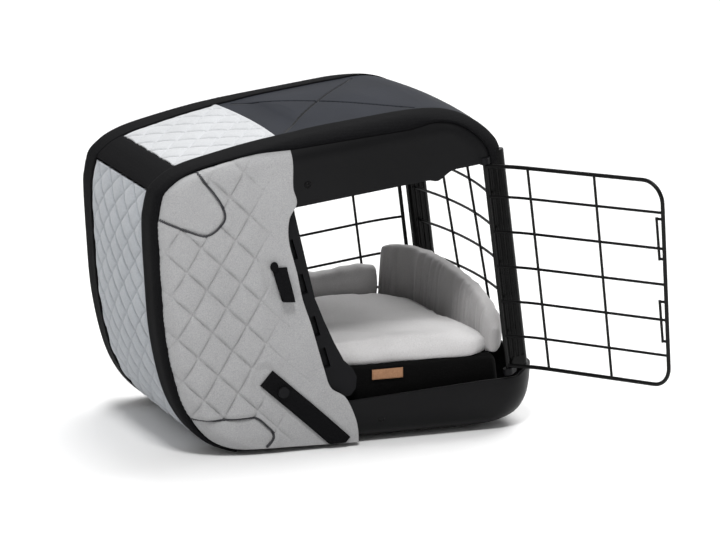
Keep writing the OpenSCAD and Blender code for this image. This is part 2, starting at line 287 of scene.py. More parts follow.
def mixed(nt, a, b, fac, mode="MIX"):
    m = nt.nodes.new("ShaderNodeMixRGB")
    m.blend_type = mode
    m.inputs["Fac"].default_value = fac
    nt.links.new(a, m.inputs["Color1"])
    nt.links.new(b, m.inputs["Color2"])
    return m.outputs["Color"]


def bump(nt, bsdf, height, strength, distance):
    b = nt.nodes.new("ShaderNodeBump")
    b.inputs["Strength"].default_value = strength
    b.inputs["Distance"].default_value = distance
    nt.links.new(height, b.inputs["Height"])
    nt.links.new(b.outputs[0], bsdf.inputs["Normal"])


def weave(nt, coords, pitch):
    """Height of a weave: sine bands along each of the three axes, with the pitch in metres."""
    total = None
    for axis in ("X", "Y", "Z"):
        w = nt.nodes.new("ShaderNodeTexWave")
        w.wave_type, w.bands_direction, w.wave_profile = "BANDS", axis, "SIN"
        w.inputs["Scale"].default_value = 0.31416 / pitch / 2
        w.inputs["Distortion"].default_value = 0.4
        w.inputs["Detail"].default_value = 0.0
        nt.links.new(coords, w.inputs["Vector"])
        total = w.outputs["Color"] if total is None else mixed(nt, total, w.outputs["Color"], 0.5)
    return total


def fabric(name, dark, mid, light, thread=0.0011, rough=0.92, sheen=0.25, depth=0.00035, fleck=1.0,
           spec=0.5):
    """Melange cloth: thread-scale flecks, faint larger shade, woven relief."""
    mat, nt, bsdf = new_material(name)
    co = object_coords(nt)
    small = noise(nt, co, 1 / thread * 0.9, 3.0, 0.75)
    spread = 0.16 / fleck
    base = ramp(nt, small, [(0.5 - spread, dark), (0.5, mid), (0.5 + spread, light)])
    broad = ramp(nt, noise(nt, co, 22.0, 3.0), [(0.3, (0.93,)), (0.7, (1.0,))])
    nt.links.new(mixed(nt, base, broad, 1.0, "MULTIPLY"), bsdf.inputs["Base Color"])
    h = mixed(nt, weave(nt, co, thread), small, 0.45)
    bump(nt, bsdf, h, 0.55, depth)
    bsdf.inputs["Roughness"].default_value = rough
    bsdf.inputs["Sheen Weight"].default_value = sheen
    bsdf.inputs["Sheen Roughness"].default_value = 0.5
    bsdf.inputs["Specular IOR Level"].default_value = spec
    return mat


def plastic(name, colour, rough, grain=0.00006, spec=0.5):
    """Moulded plastic: fine grain, slight gloss and shade variation."""
    mat, nt, bsdf = new_material(name)
    co = object_coords(nt)
    fine = noise(nt, co, 1800.0, 2.0)
    broad = noise(nt, co, 14.0, 4.0)
    lo = tuple(c * 0.88 for c in colour)
    hi = tuple(c * 1.18 for c in colour)
    nt.links.new(ramp(nt, broad, [(0.35, lo), (0.65, hi)]), bsdf.inputs["Base Color"])
    gloss = ramp(nt, broad, [(0.3, (rough - 0.05,)), (0.7, (rough + 0.06,))])
    nt.links.new(gloss, bsdf.inputs["Roughness"])
    bump(nt, bsdf, fine, 0.35, grain)
    bsdf.inputs["Specular IOR Level"].default_value = spec
    return mat


def webbing(name, colour, pitch=0.0016):
    """Woven band: fine relief and shade, nearly matt."""
    mat, nt, bsdf = new_material(name)
    co = object_coords(nt)
    n = noise(nt, co, 900.0, 2.0)
    deep = tuple(c * 0.6 for c in colour)
    raised = tuple(c * 1.7 for c in colour)
    nt.links.new(ramp(nt, n, [(0.3, deep), (0.7, raised)]), bsdf.inputs["Base Color"])
    bump(nt, bsdf, mixed(nt, weave(nt, co, pitch), n, 0.3), 0.7, 0.0003)
    bsdf.inputs["Roughness"].default_value = 0.85
    bsdf.inputs["Specular IOR Level"].default_value = 0.05
    return mat


MAT = {
    "quilt_grey": fabric("quilt_grey_cloth", (0.26, 0.26, 0.264), (0.335, 0.335, 0.34),
                         (0.41, 0.41, 0.412), fleck=0.7),
    "quilt_rear": fabric("quilt_rear_cloth", (0.27, 0.285, 0.305), (0.335, 0.355, 0.38),
                         (0.40, 0.42, 0.445)),
    # The top quilt's cloth is the grey quilt cloth made lighter: painted light from above
    "quilt_white": fabric("quilt_top_cloth_painted_light", (0.42, 0.43, 0.445), (0.48, 0.49, 0.505),
                          (0.54, 0.55, 0.56)),
    "webbing": webbing("black_band", (0.0045, 0.0045, 0.005)),
    "shell": plastic("shell_plastic", (0.0055, 0.0055, 0.006), 0.42, spec=0.1),
    "slate": plastic("slate_plastic", (0.025, 0.027, 0.033), 0.5, spec=0.02),
    # Near-black plastic for the faces in the roof panel's grooves: painted shade in the grooves
    "groove_painted_shade": plastic("groove_painted_shade_plastic", (0.002, 0.002, 0.002), 0.6, spec=0.1),
    "frame": plastic("frame_plastic", (0.006, 0.006, 0.007), 0.5, spec=0.1),
    "post": plastic("post_plastic", (0.002, 0.002, 0.002), 0.24, grain=0.00002, spec=0.12),
    "wire": plastic("wire_coat", (0.0025, 0.0025, 0.0025), 0.36, grain=0.00003, spec=0.15),
    "rubber": plastic("skid_rubber", (0.012, 0.012, 0.012), 0.75, grain=0.0001, spec=0.25),
    "bed_black": fabric("bed_black_cloth", (0.002, 0.002, 0.002), (0.003, 0.003, 0.003),
                        (0.005, 0.005, 0.005), sheen=0.02, spec=0.05),
    "bed_grey": fabric("bed_grey_cloth", (0.50, 0.49, 0.49), (0.59, 0.58, 0.58), (0.67, 0.66, 0.66),
                       thread=0.0008, sheen=0.35, depth=0.0002),
    "bolster_grey": fabric("bolster_grey_cloth", (0.33, 0.32, 0.32), (0.40, 0.39, 0.39),
                           (0.47, 0.46, 0.46), thread=0.0008, sheen=0.4, depth=0.0002),
    "thread": webbing("dark_thread", (0.06, 0.06, 0.065), 0.0008),
    "leather": fabric("tan_leather", (0.25, 0.12, 0.055), (0.33, 0.165, 0.08), (0.40, 0.21, 0.11),
                      thread=0.0018, rough=0.6, sheen=0.05, depth=0.0002, fleck=0.6),
}

# ---------------------------------------------------------------- stage, light, camera


def make_stage():
    """Wide pale floor."""
    size = 30.0
    me = bpy.data.meshes.new("floor")
    corners = [(-size, -size, 0), (size, -size, 0), (size, size, 0), (-size, size, 0)]
    me.from_pydata(corners, [], [(0, 1, 2, 3)])
    floor = bpy.data.objects.new("floor", me)
    bpy.context.scene.collection.objects.link(floor)
    mat, _, bsdf = new_material("pale_floor")
    bsdf.inputs["Base Color"].default_value = (0.93, 0.93, 0.93, 1)
    bsdf.inputs["Roughness"].default_value = 0.9
    me.materials.append(mat)


def area_light(name, at, aim, size, power):
    data = bpy.data.lights.new(name, "AREA")
    data.shape, data.size, data.energy = "DISK", size, power
    ob = bpy.data.objects.new(name, data)
    ob.location = at
    ob.rotation_euler = (Vector(aim) - Vector(at)).to_track_quat("-Z", "Y").to_euler()
    bpy.context.scene.collection.objects.link(ob)


def make_lights():
    world = bpy.data.worlds.new("studio")
    world.use_nodes = True
    nt = world.node_tree
    back = nt.nodes["Background"]
    split = nt.nodes.new("ShaderNodeSeparateXYZ")
    nt.links.new(nt.nodes.new("ShaderNodeTexCoord").outputs["Generated"], split.inputs[0])
    # The studio is bright behind the crate and dimmer above and in front of it
    side = ramp(nt, split.outputs["Y"], [(0.0, (0.6,)), (0.5, (1.0,))])
    nt.links.new(side, back.inputs[0])
    back.inputs[1].default_value = 0.68
    bpy.context.scene.world = world
    sun = bpy.data.lights.new("sky_light", "SUN")
    sun.energy, sun.angle = 2.6, 0.8
    ob = bpy.data.objects.new("sky_light", sun)
    ob.rotation_euler = Vector((0.42, 0.38, 0.82)).to_track_quat("Z", "Y").to_euler()
    bpy.context.scene.collection.objects.link(ob)
    area_light("top_light", (-0.55, -1.5, 2.5), (0, 0, 0.2), 0.6, 44)
    bpy.context.scene.view_settings.view_transform = "Standard"


CAMERA_AT = Vector((-1.6343, -4.6505, 1.2872))
CAMERA_RIGHT = Vector((0.93846, -0.34538, 0.0))
CAMERA_AHEAD = Vector((0.33695, 0.91555, -0.21963))


def make_camera():
    data = bpy.data.cameras.new("camera")
    data.lens, data.sensor_width = 199.95, 36.0
    cam = bpy.data.objects.new("camera", data)
    ahead = CAMERA_AHEAD.normalized()
    right = (CAMERA_RIGHT - CAMERA_RIGHT.dot(ahead) * ahead).normalized()
    up = right.cross(ahead)
    rot = Matrix((right, up, -ahead)).transposed()
    cam.matrix_world = Matrix.Translation(CAMERA_AT) @ rot.to_4x4()
    data.clip_end = 100
    bpy.context.scene.collection.objects.link(cam)
    bpy.context.scene.camera = cam


# ---------------------------------------------------------------- quilted hood
# Width and height of a diamond on each panel
SIDE_QUILT = (44.0, 54.0)
REAR_QUILT = (50.0, 38.0)
TOP_QUILT = (50.0, 40.0)


def quilt_height(a, b, keep, puff=5.2, size=SIDE_QUILT):
    """Relief of diamond quilting over flat coordinates a and b; keep fades it out to plain cloth."""
    u = a / size[0] + b / size[1]
    v = a / size[0] - b / size[1]
    du = np.abs(u - np.round(u))
    dv = np.abs(v - np.round(v))
    near = np.minimum(du, dv)
    dome = np.sqrt(np.clip(np.sin(np.pi * np.clip(du, 0, 0.5)) * np.sin(np.pi * np.clip(dv, 0, 0.5)), 0, 1))
    seam = np.exp(-(near / 0.035) ** 2)
    crease = 0.35 * np.sin(a * 0.31 + 2.0 * np.sin(b * 0.13)) * np.sin(b * 0.27 + 1.3)
    return keep * (puff * dome ** 0.8 - 1.1 * seam + crease * dome * 0.5)


# Front edge of a side cover, cabin x and z from the top down
FRONT_EDGE = np.array([[-48, 372], [-48, 345], [-51, 320], [-49, 300], [-61, 282], [-65, 255], [-60, 215],
                       [-57, 180], [-50, 145], [-41, 88], [-35, 62], [-18, 46], [-9, 20], [-7, 0],
                       [-9, -20]], float)


def coons(bottom, top, left, right):
    """Grid between four boundary curves, each given from left to right or from bottom to top."""
    n, m = len(bottom), len(left)
    u = np.linspace(0, 1, n)[:, None, None]
    v = np.linspace(0, 1, m)[None, :, None]
    side = (1 - v) * bottom[:, None] + v * top[:, None] + (1 - u) * left[None] + u * right[None]
    low = (1 - v) * ((1 - u) * bottom[0] + u * bottom[-1])
    high = v * ((1 - u) * top[0] + u * top[-1])
    return side - low - high


def floor_line(x):
    """Cabin height of the hood's lower hem, a few millimetres above the floor."""
    hem = 5.0
    return (hem - FRAME_AT[2] - x * math.sin(LEAN)) / math.cos(LEAN)


def band_edge(count, extra):
    """Band edge from the hood's bottom rear, up its rear and forward over its top, as cabin x, y, z."""
    phi = np.linspace(math.radians(233), math.radians(34), count)
    origin = np.tile([FAN_X, 0, FAN_Z], (count, 1))
    direction = np.stack([np.cos(phi), np.zeros(count), np.sin(phi)], -1)
    y = np.full(count, 110.0)
    for _ in range(4):
        o = origin.copy()
        o[:, 1] = -y
        p = hit(o, direction)
        y = band_inner(p[:, 0]) + extra
    return p


def make_side_cover(s):
    """One quilted side of the hood, with its two plain corner patches."""
    n, m = 190, 230
    edge = band_edge(700, BAND_W - 2.5)
    edge = edge[(edge[:, 2] > floor_line(edge[:, 0])) & (edge[:, 0] < -46)]
    xz = edge[:, [0, 2]]
    top_i = int(np.argmin(np.abs(xz[:, 0] + 196) + (xz[:, 1] < 300) * 999))
    left = curve_through(xz[: top_i + 1: 6], m)
    top = curve_through(np.vstack([xz[top_i::6], xz[-1:]]), n)
    front = FRONT_EDGE.copy()
    front[0] = top[-1]
    front = curve_through(front[::-1], m)
    front[:, 1] = np.maximum(front[:, 1], floor_line(front[:, 0]))
    bottom = np.linspace(0, 1, n)[:, None] * (front[0] - left[0]) + left[0]
    bottom[:, 1] = floor_line(bottom[:, 0])
    g = coons(bottom, top, left, front)
    p = side_point(g[..., 0], g[..., 1], s)
    nrm = smooth_grid(grid_normals(p), 4)
    nrm *= np.sign(nrm[..., 1] * s)[..., None]
    nrm /= np.linalg.norm(nrm, axis=-1, keepdims=True)
    x, z = p[..., 0], p[..., 2]
    rim = np.vstack([left[::4], top[::4]])
    to_rim = np.min(np.hypot(x[..., None] - rim[:, 0], z[..., None] - rim[:, 1]), -1)
    h = side_relief(x, z, to_rim)
    out = p + nrm * h[..., None]
    name = "cover_side_" + ("left" if s > 0 else "right")
    ob = slab(name + "_quilt", out, 4.2, MAT["quilt_grey"])
    finish_cover(ob, name)
    for label, outline in (("upper", UPPER_PATCH), ("lower", LOWER_PATCH)):
        make_stitch(f"{name}_stitch_{label}", outline, s, rim)


def near_line(x, z, a, b):
    """Distance from points to the segment a-b, in the side view or in plan."""
    a, b = np.array(a, float), np.array(b, float)
    ab = b - a
    t = np.clip(((x - a[0]) * ab[0] + (z - a[1]) * ab[1]) / (ab @ ab), 0, 1)
    return np.hypot(x - a[0] - t * ab[0], z - a[1] - t * ab[1])


def side_relief(x, z, to_rim):
    """Height of the side's quilting over the smooth skin."""
    fx = np.interp(z, FRONT_EDGE[::-1, 1], FRONT_EDGE[::-1, 0])
    margin = np.clip((fx - x - 12) / 16, 0, 1)
    field = np.maximum(patch_field(x, z, UPPER_PATCH), patch_field(x, z, LOWER_PATCH))
    plain = np.clip(field / 3 + 0.5, 0, 1)
    under = np.minimum(near_line(x, z, *STRAP_LINE) / 26, near_line(x, z, *TAB_LINE) / 24)
    flat = np.clip((under - 0.55) * 2.5, 0, 1)
    h = quilt_height(x, z, margin * (1 - plain) * flat)
    h += 2.2 * plain * np.clip(field / 26, 0, 1) ** 0.5 - 1.1 * np.exp(-((field - 0.5) / 2.2) ** 2)
    h += 1.2 * np.exp(-((field + 6) / 2.5) ** 2)
    # Rolled front edge, thin where a closed door lies over it, tucked in under the bands and at the hem
    h += 1.2 * np.exp(-((fx - x - 4) / 5) ** 2)
    room = np.clip((-88 - x) / 26, 0, 1)
    h = np.where(h > 0.4, 0.4 + (h - 0.4) * room, h)
    h *= np.clip((z - floor_line(x)) / 20, 0, 1)
    return h * np.clip(to_rim / 16, 0, 1) ** 0.7


UPPER_PATCH = np.array([[-170, 372], [-163, 352], [-152, 334], [-144, 318], [-141, 306], [-143, 297],
                        [-151, 289], [-160, 284], [-168, 282.5], [-178, 286], [-192, 294], [-206, 302],
                        [-222, 312], [-240, 322]], float)
LOWER_PATCH = np.array([[-226, 60], [-206, 57], [-190, 54], [-165, 50], [-148, 48], [-137, 46], [-130, 41],
                        [-122, 31], [-117, 24], [-116, 16], [-122, 9], [-134, 1], [-150, -12]], float)
STRAP_LINE = ((-117, 90), (-36, -4))
TAB_LINE = ((-84, 226), (-78, 186))


def patch_field(x, z, outline):
    """Signed distance in millimetres to a patch's edge, positive inside, closed behind the hood."""
    pts = curve_through(outline, 60)
    ring = np.vstack([pts, [[-400, pts[-1, 1]], [-400, pts[0, 1]]]])
    best = np.full(x.shape, 1e9)
    inside_it = np.zeros(x.shape, bool)
    count = len(ring)
    for i in range(count):
        a, b = ring[i], ring[(i + 1) % count]
        if i < len(pts) - 1:
            best = np.minimum(best, near_line(x, z, a, b))
        if a[1] != b[1]:
            cross = ((a[1] > z) != (b[1] > z)) & (x < (b[0] - a[0]) * (z - a[1]) / (b[1] - a[1]) + a[0])
            inside_it ^= cross
    return np.where(inside_it, best, -best)


def make_stitch(name, outline, s, rim):
    """Thick dark zigzag stitching along a patch's edge, lying on the cloth."""
    pts = curve_through(outline, 420)
    to_rim = np.min(np.hypot(pts[:, :1] - rim[:, 0], pts[:, 1:] - rim[:, 1]), -1)
    p = side_point(pts[:, 0], pts[:, 1], s)
    p[:, 1] += s * (side_relief(pts[:, 0], pts[:, 1], to_rim) + 0.5)
    ok = (np.abs(p[:, 1]) > band_inner(p[:, 0]) + BAND_W - 1.0) & (p[:, 2] > floor_line(p[:, 0]) + 4)
    p = p[ok]
    t = np.gradient(p, axis=0)
    t /= np.linalg.norm(t, axis=1, keepdims=True)
    w = np.cross(t, [0, s, 0])
    w /= np.linalg.norm(w, axis=1, keepdims=True)
    verts, faces = [], []
    step = 2
    for i in range(0, len(p) - step - 1, step):
        lean = 0.8 if (i // step) % 2 else -0.8
        a, b = p[i] + t[i] * 0.1, p[i + step] - t[i] * 0.35
        base = len(verts)
        for q, lift, shift in ((a, 0.0, -lean), ((a + b) / 2, 0.7, 0.0), (b, 0.0, lean)):
            for k in (-1, 0, 1):
                crown = 0.5 if k == 0 else 0
                verts.append(q + w[i] * (k * 1.15 + shift) + np.array([0, s * (lift + crown), 0]))
        for r in range(2):
            for k in range(2):
                c = base + r * 3 + k
                faces.append((c, c + 1, c + 4, c + 3))
    ob = mesh_object(name, verts, faces, MAT["thread"], "cabin", False)
    m = ob.modifiers.new("thick", "SOLIDIFY")
    m.thickness, m.offset = 0.8 * MM, 0


def fan(phi0, phi1, rows, cols):
    """Origins and directions of rays that fan out over rows from phi0 to phi1 degrees."""
    phi = np.radians(np.linspace(phi0, phi1, rows))
    o = np.zeros((rows, cols, 3))
    o[..., 0], o[..., 2] = FAN_X, FAN_Z
    d = np.stack([np.cos(phi), np.zeros(rows), np.sin(phi)], -1)[:, None, :] * np.ones((1, cols, 1))
    return o, d


def centre_strip(phi0, phi1, rows, cols, inner=0.0):
    """Grid on the rear and top between the bands. Rows follow phi, columns go across."""
    o, d = fan(phi0, phi1, rows, cols)
    span = np.linspace(-1, 1, cols)[None, :]
    half = np.full((rows, 1), 108.0)
    for _ in range(4):
        o[..., 1] = span * half
        p = hit(o, d)
        half = (band_inner(p[:, cols // 2, 0]) + 1.5 - inner)[:, None]
    return p


def angle_at(x, z):
    """Direction in degrees, from the fan's centre to cabin x and z."""
    return math.degrees(math.atan2(z - FAN_Z, x - FAN_X)) % 360


PHI_BOTTOM = angle_at(-150, 2)
PHI_REAR_TOP = angle_at(-216, 340)
PHI_TOP_REAR = angle_at(-180, 361)
PHI_TOP_FRONT = angle_at(-48, 374)


def make_rear_cover():
    """Quilted rear panel, from the bottom hem up to the cross band."""
    p = centre_strip(PHI_BOTTOM, PHI_REAR_TOP + 0.6, 240, 170)
    along = np.concatenate([[0], np.cumsum(np.linalg.norm(np.diff(p[:, 85], axis=0), axis=1))])
    hem = np.clip(along / 12, 0, 1)[:, None]
    n = outward_normals(p)
    h = quilt_height(p[..., 1], along[:, None], hem * side_fade(p.shape[1]), 3.0, REAR_QUILT)
    ob = slab("cover_rear_quilt", p + n * h[..., None], 4.0, MAT["quilt_rear"])
    finish_cover(ob, "cover_rear")


def side_fade(cols):
    """Lowers a centre panel's relief towards the bands."""
    return np.clip((1 - np.abs(np.linspace(-1, 1, cols)))[None, :] * 9, 0, 1)


def outward_normals(p):
    """Smoothed unit normals of a grid, all away from the body."""
    n = smooth_grid(grid_normals(p), 3)
    flip = np.sign(((p - BODY_MIDDLE) * n).sum(-1))
    n = n * flip[..., None]
    return n / np.linalg.norm(n, axis=-1, keepdims=True)


def finish_cover(ob, node):
    weld_normals(ob)
    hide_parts(node)


def finish_webbing(ob, node):
    weld_normals(ob)
    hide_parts(node)


QUILT_BOW = 5.0


def make_top_cover():
    """Quilted top panel with its bowed front edge, in a lighter copy of the quilt cloth: painted light from
    above.
    """
    rows, cols = 130, 170
    p = centre_strip(PHI_TOP_REAR - 0.4, PHI_TOP_FRONT, rows, cols)
    # The front edge bows forward in the middle: stretch the rows across the bow
    across = np.linspace(-1, 1, cols)[None, :]
    t = np.linspace(0, 1, rows)[:, None]
    x = p[..., 0] + t**1.5 * QUILT_BOW * (1 - across**2)
    half = band_inner(x) + 1.5
    y = across * half
    o = np.stack([x, y, np.full_like(x, 300.0)], -1)
    d = np.zeros_like(o)
    d[..., 2] = 1
    p = hit(o, d, 120)
    n = outward_normals(p)
    edge = np.clip((1 - t) * 130 / 12, 0, 1) * side_fade(cols)
    h = quilt_height(p[..., 1], p[..., 0] + 180, edge, 2.6, TOP_QUILT) + 0.6
    h += 1.5 * np.exp(-(((1 - t) * 120 - 3) / 3.5) ** 2)
    ob = slab("cover_top_quilt", p + n * h[..., None], 3.6, MAT["quilt_white"])
    finish_cover(ob, "cover_top")


def make_cross_band():
    """Black band across the hood between its rear and its top."""
    p = centre_strip(PHI_REAR_TOP, PHI_TOP_REAR, 26, 120, inner=-1.0)
    n = outward_normals(p)
    t = np.linspace(-1, 1, 26)[:, None]
    h = 2.0 + 0.5 * (1 - t**6)
    ob = slab("cross_band_webbing", p + n * h[..., None], 3.0, MAT["webbing"])
    finish_webbing(ob, "cross_band")


def make_band(s):
    """Black band from the bottom rear, up the rear edge and over the top edge to the front corner."""
    count, across = 420, 13
    o, d = fan(angle_at(-160, 8.0), angle_at(224, 303), count, across)
    span = np.linspace(0, 1, across)[None, :]
    y = np.full((count, across), 110.0)
    for _ in range(5):
        o[..., 1] = s * y
        p = hit(o, d)
        x_mid = p[:, across // 2, 0][:, None]
        y = band_inner(x_mid) + span * (band_outer(x_mid) - band_inner(x_mid))
    n = outward_normals(p)
    # Slightly crowned, with a stitched line sunk in near each edge
    sunk = np.exp(-((span - 0.12) / 0.03) ** 2) + np.exp(-((span - 0.88) / 0.03) ** 2)
    h = 2.7 + 0.5 * (1 - (2 * span - 1) ** 4) - 0.4 * sunk
    side = "left" if s > 0 else "right"
    ob = slab(f"band_{side}_webbing", p + n * h[..., None], 2.6, MAT["webbing"])
    finish_webbing(ob, f"band_{side}")


# ---------------------------------------------------------------- roof and tray


def ring_xy(z, count):
    """Outline of the skin at height z, counter-clockwise from the middle of the rear."""
    x0, x1, _ = extents(z)
    a = np.linspace(0, 2 * math.pi, count, endpoint=False) + math.pi
    o = np.tile([(x0 + x1) / 2, 0.0, float(z)], (count, 1))
    d = np.stack([np.cos(a), np.sin(a), np.zeros(count)], -1)
    return hit(o, d)


def restack(rings, low, high):
    """Spreads the rings' levels from low to high, two heights for each point of a ring."""
    for j in range(rings.shape[1]):
        zs = rings[:, j, 2].copy()
        t = (zs - zs[0]) / (zs[-1] - zs[0])
        z_new = low[j] + (high[j] - low[j]) * t
        for c in (0, 1):
            rings[:, j, c] = np.interp(z_new, zs, rings[:, j, c])
        rings[:, j, 2] = z_new


def make_roof_shell():
    """Black roof moulding: skirts, rolled shoulder and visor, 5 mm thick."""
    count = 520
    levels = np.concatenate([[295, 296.5], np.linspace(299, 374.9, 54)])
    rings = np.array([ring_xy(z, count) for z in levels])
    # The lower edge rises near the front, over the doors' top wires
    x = rings[0, :, 0]
    y = np.abs(rings[0, :, 1])
    low = levels[0] + 7 * np.clip((x - 141) / 14, 0, 1)
    low += 7 * np.clip((x - 190) / 20, 0, 1) * np.clip((112 - y) / 14, 0, 1)
    low -= 3.15 * np.exp(-((x - 134) / 7) ** 2) * (y > 150)
    restack(rings, low, np.full(count, levels[-1]))
    k = len(levels)
    verts = rings.reshape(-1, 3)
    faces = ring_faces(k, count)
    faces.append(tuple((k - 1) * count + j for j in range(count)))
    ob = mesh_object("roof_shell_moulding", verts, faces, MAT["shell"], None, False)
    bm = bmesh.new()
    bm.from_mesh(ob.data)
    at = Vector(to_world([[-52, 0, 300]])[0] * MM)
    normal = Vector(TURN[:, 0])
    bmesh.ops.bisect_plane(bm, geom=bm.verts[:] + bm.edges[:] + bm.faces[:], plane_co=at, plane_no=normal,
                           clear_inner=True)
    bmesh.ops.recalc_face_normals(bm, faces=bm.faces)
    bm.to_mesh(ob.data)
    bm.free()
    m = ob.modifiers.new("wall", "SOLIDIFY")
    m.thickness, m.offset = 5.0 * MM, -1
    m.use_even_offset = True
    add_bevel(ob, 1.2, 2, 50)
    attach(ob, "cabin")
    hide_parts("roof_shell")


def paint_near(ob, mat, lines, reach, above):
    """Gives a second material to the faces within reach of lines on the cabin's plan."""
    me = ob.data
    me.materials.append(mat)
    c = to_cabin(np.array([f.center[:] for f in me.polygons]) / MM)
    index = np.zeros(len(c), int)
    for a, b in lines:
        index |= (near_line(c[:, 0], c[:, 1], a, b) < reach) & (c[:, 2] > above)
    me.polygons.foreach_set("material_index", index.astype(np.int32))


# The two crossed grooves, each from and to a cabin x, y, and half their width
GROOVES = [((-32, -104 * s), (134, 112 * s)) for s in (-1, 1)]
GROOVE_W = 1.7


def make_roof_panel():
    """Slate panel with crossed grooves, running over the front edge of the roof."""
    rows, cols = 330, 240
    p = centre_strip(angle_at(-70, 374), angle_at(226, 305), rows, cols, inner=-1.0)
    t = np.linspace(0, 1, rows)[:, None]
    across = np.linspace(-1, 1, cols)[None, :]
    top = p[..., 2] > 340
    h = np.full(p.shape[:2], 0.9)
    for a, b in GROOVES:
        h -= 2.4 * np.exp(-(near_line(p[..., 0], p[..., 1], a, b) / GROOVE_W) ** 4) * top
    # Sunk where it runs in under the top quilt's bowed front edge
    front = -48 + QUILT_BOW * (1 - across**2)
    h -= 3.5 * np.clip((front - 1.0 - p[..., 0]) / 2, 0, 1) * top
    lip = np.clip((1 - t) * 20, 0.02, 1)
    edge = np.clip((1 - np.abs(across)) * 60, 0, 1)
    n = outward_normals(p)
    ob = slab("roof_panel_moulding", p + n * (h * lip**0.5 * edge**0.5)[..., None], 2.2, MAT["slate"])
    weld_normals(ob)
    # The faces in the grooves take the near-black plastic: painted shade in the grooves
    paint_near(ob, MAT["groove_painted_shade"], GROOVES, GROOVE_W, 340)
    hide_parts("roof_panel")


# Height, rear x, front x and half width of the tray, in row-frame millimetres
TRAY = np.array([[5, -118, 196, 128], [6.5, -132, 214, 144], [12, -150, 230, 154], [22, -168, 242, 160],
                 [38, -182, 250, 163], [56, -192, 254, 163], [74, -196, 256, 161.5],
                 [96, -198, 257, 161]], float)
TRAY_FINE = smooth_table(TRAY, 12)
# Height of the tray's rim against x
RIM = np.array([[-300, 54], [0, 57], [180, 67.5], [228, 68.5], [250, 78], [300, 81]], float)


def tray_outline(z, count):
    """Outline of the tray at height z, with corner arcs and a bowed front."""
    x0, x1, w = (np.interp(z, TRAY_FINE[:, 0], TRAY_FINE[:, c]) for c in (1, 2, 3))
    pts = []
    for cx, cy, r, start in ((x1 - 44, w - 44, 44, 0), (x0 + 54, w - 54, 54, 90),
                             (x0 + 54, -w + 54, 54, 180), (x1 - 44, -w + 44, 44, 270)):
        for a in np.radians(np.linspace(start, start + 90, 24)):
            pts.append([cx + r * math.cos(a), cy + r * math.sin(a)])
    x, y = spread(np.array(pts + [pts[0]]), count, endpoint=False).T
    x = x + 10 * (1 - (y / w) ** 2) * np.clip(x / 100, 0, 1)
    return np.stack([x, y, np.full(count, float(z))], -1)


def make_tray():
    """Moulded base tray with a rolled rim."""
    count = 480
    levels = np.concatenate([[5, 5.4, 6.2, 7.5, 9.5, 12], np.linspace(15, 86, 34)])
    rings = np.array([tray_outline(z, count) for z in levels])
    rim = np.interp(rings[-1, :, 0], RIM[:, 0], RIM[:, 1])
    restack(rings, np.full(count, levels[0]), rim)
    verts = rings.reshape(-1, 3)
    faces = ring_faces(len(levels), count)
    faces.append(tuple(range(count))[::-1])
    ob = mesh_object("tray_moulding", verts, faces, MAT["shell"], None, True)
    weld_normals(ob)
    m = ob.modifiers.new("wall", "SOLIDIFY")
    m.thickness, m.offset = 3.6 * MM, -1
    add_bevel(ob, 1.3, 3, 50)
    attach(ob, "cabin")
    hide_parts("tray")


# ---------------------------------------------------------------- bed


def cloth_puff(ob, frames, pressure, cap):
    """Swells a closed mesh with Blender's cloth and applies it, capping how far a point moves."""
    scene = bpy.context.scene
    before = np.array([v.co[:] for v in ob.data.vertices])
    cloth = ob.modifiers.new("puff", "CLOTH")
    st = cloth.settings
    st.use_pressure = True
    st.uniform_pressure_force = pressure
    st.quality = 6
    st.mass = 0.3
    st.tension_stiffness = st.compression_stiffness = 18
    st.shear_stiffness = 8
    st.bending_stiffness = 0.4
    st.effector_weights.gravity = 0
    cloth.point_cache.frame_end = frames
    for f in range(1, frames + 1):
        scene.frame_set(f)
    dg = bpy.context.evaluated_depsgraph_get()
    me = ob.evaluated_get(dg).to_mesh()
    after = np.array([v.co[:] for v in me.vertices])
    ob.evaluated_get(dg).to_mesh_clear()
    ob.modifiers.remove(cloth)
    scene.frame_set(1)
    move = after - before
    far = np.linalg.norm(move, axis=1, keepdims=True)
    move *= np.minimum(1, cap * MM / np.maximum(far, 1e-9))
    ob.data.vertices.foreach_set("co", (before + move).reshape(-1))
    ob.data.update()


def remeshed(ob, voxel):
    """Gives a mesh an even voxel grid, voxel in millimetres."""
    m = ob.modifiers.new("even", "REMESH")
    m.mode, m.voxel_size = "VOXEL", voxel * MM
    dg = bpy.context.evaluated_depsgraph_get()
    me = bpy.data.meshes.new_from_object(ob.evaluated_get(dg))
    ob.modifiers.remove(m)
    mats = list(ob.data.materials)
    ob.data = me
    ob.data.materials.clear()
    for mt in mats:
        ob.data.materials.append(mt)
    me.polygons.foreach_set("use_smooth", [True] * len(me.polygons))


def round_plan(lo, hi, r, steps=10):
    """Rectangle in plan with round corners."""
    plan = []
    for cx, cy, start in ((hi[0] - r, hi[1] - r, 0), (lo[0] + r, hi[1] - r, 90),
                          (lo[0] + r, lo[1] + r, 180), (hi[0] - r, lo[1] + r, 270)):
        for a in np.radians(np.linspace(start, start + 90, steps)):
            plan.append([cx + r * math.cos(a), cy + r * math.sin(a)])
    return np.array(plan)


def base_plan():
    """Bed outline with tighter corners at the front."""
    front = round_plan((60, -143), (213, 143), 17, 8)
    rear = round_plan((-138, -143), (60, 143), 40, 10)
    return np.vstack([front[:8], rear[10:30], front[24:]])


def cushion_plan():
    """Cushion outline that follows the inner face of the front bolster."""
    path = curve_through(BOLSTER_PATH, 60)
    y = np.linspace(-122, 84, 24)
    face = np.stack([np.interp(-y, -path[:, 1], path[:, 0]) - 5.0, y], -1)
    corner = [[160, -139], [176, -138.5], [187, -135], [193, -129]]
    far = [[162, 104], [150, 113], [134, 117], [100, 117]]
    rear = round_plan((-132, -139), (0, 117), 40, 10)[10:30]
    return np.vstack([corner, face, far, rear, [[-40, -139], [60, -139]]])


